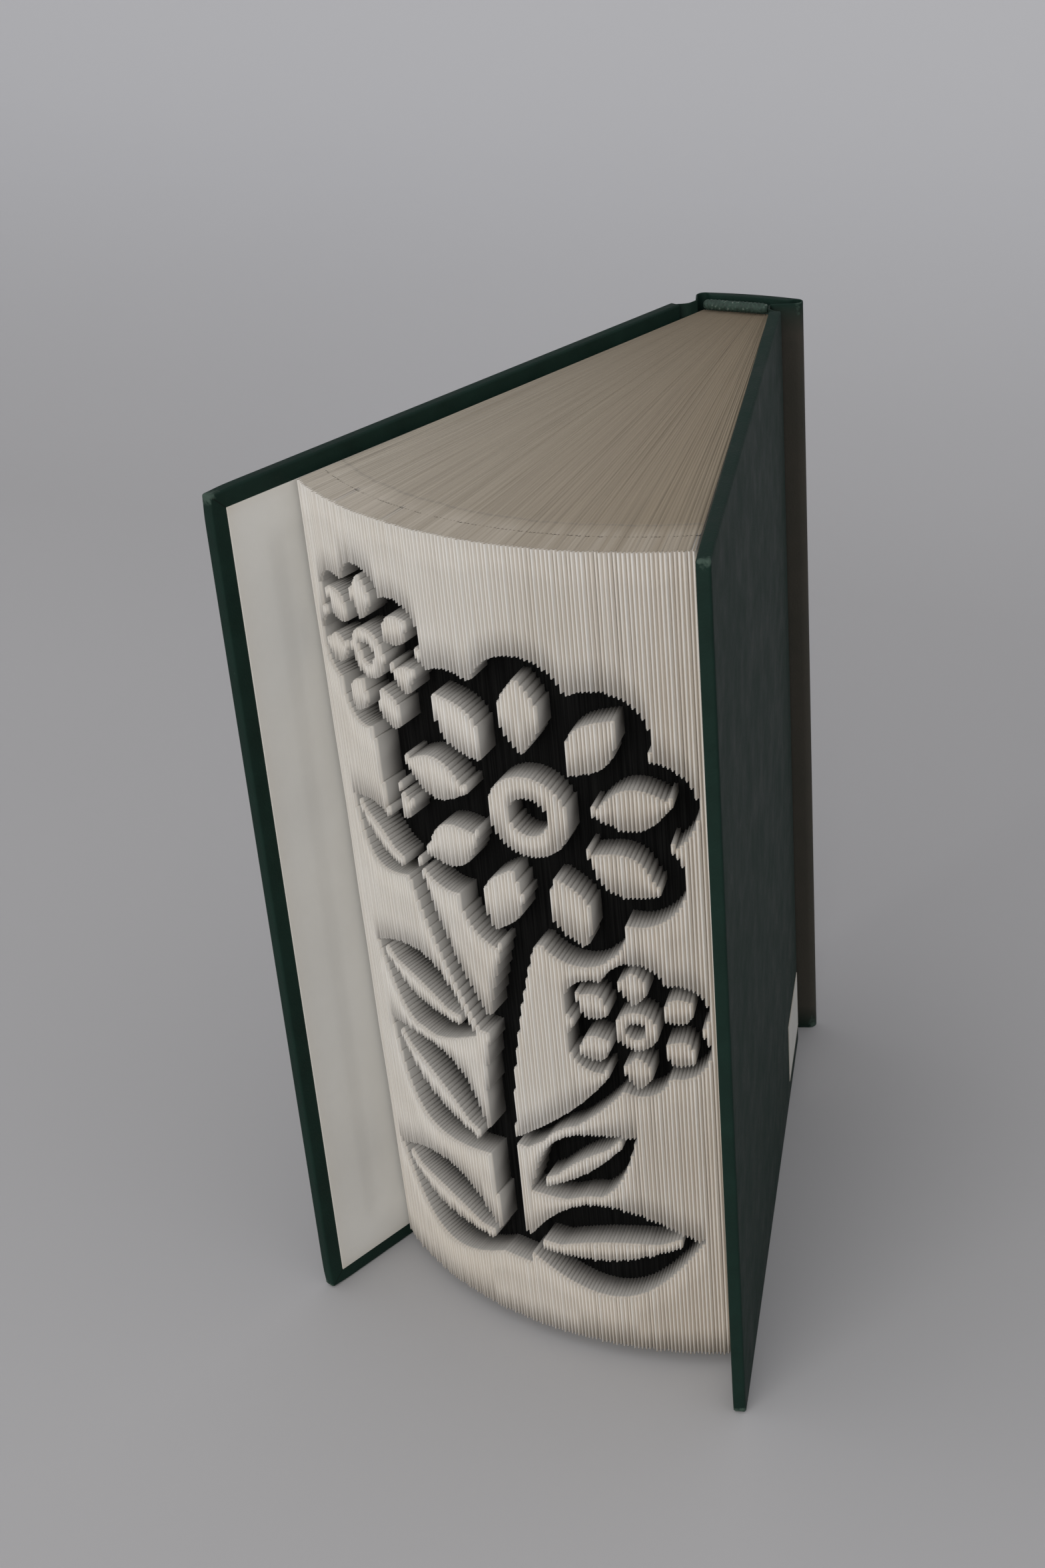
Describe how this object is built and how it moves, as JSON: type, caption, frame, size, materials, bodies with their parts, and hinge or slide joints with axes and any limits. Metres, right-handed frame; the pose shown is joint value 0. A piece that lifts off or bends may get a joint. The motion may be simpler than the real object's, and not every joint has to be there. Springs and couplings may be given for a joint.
{
  "type": "book",
  "caption": "Cloth-bound hardcover book standing on its tail, covers sprung apart by folded leaves whose fanned fore edge carries a sunk flower spray.",
  "frame": {"origin": "middle of the ground that the book covers, on the plane it stands on", "axes": "+Z from tail to head, the spine at +Y, the fore edge facing -Y, the front cover at -X"},
  "size_m": [0.1152, 0.1538, 0.215],
  "materials": {
    "pages": "matt aged book paper",
    "endpaper": "matt",
    "cover_cloth": "dark green book cloth, rubbed at the edges",
    "band": "woven band",
    "board": "grey board",
    "lining": "kraft lining"
  },
  "bodies": {
    "block": {"text_block": "pages", "spine_lining": "lining", "headband": "band", "tailband": "band", "spine_inlay": "board", "spine_cloth": "cover_cloth"},
    "front_cover": {"front_board": "board", "front_cloth": "cover_cloth", "front_pastedown": "endpaper"},
    "back_cover": {"back_board": "board", "back_cloth": "cover_cloth", "back_pastedown": "endpaper"}
  },
  "joints": [
    {"name": "front_hinge", "type": "hinge", "parent": "block", "child": "front_cover", "pos_m": [-0.00831, 0.07299, 0.1075], "axis": [0, 0, -1], "range_deg": [0, 160]},
    {"name": "back_hinge", "type": "hinge", "parent": "block", "child": "back_cover", "pos_m": [0.01168, 0.07299, 0.1075], "axis": [0, 0, 1], "range_deg": [0, 160]}
  ]
}
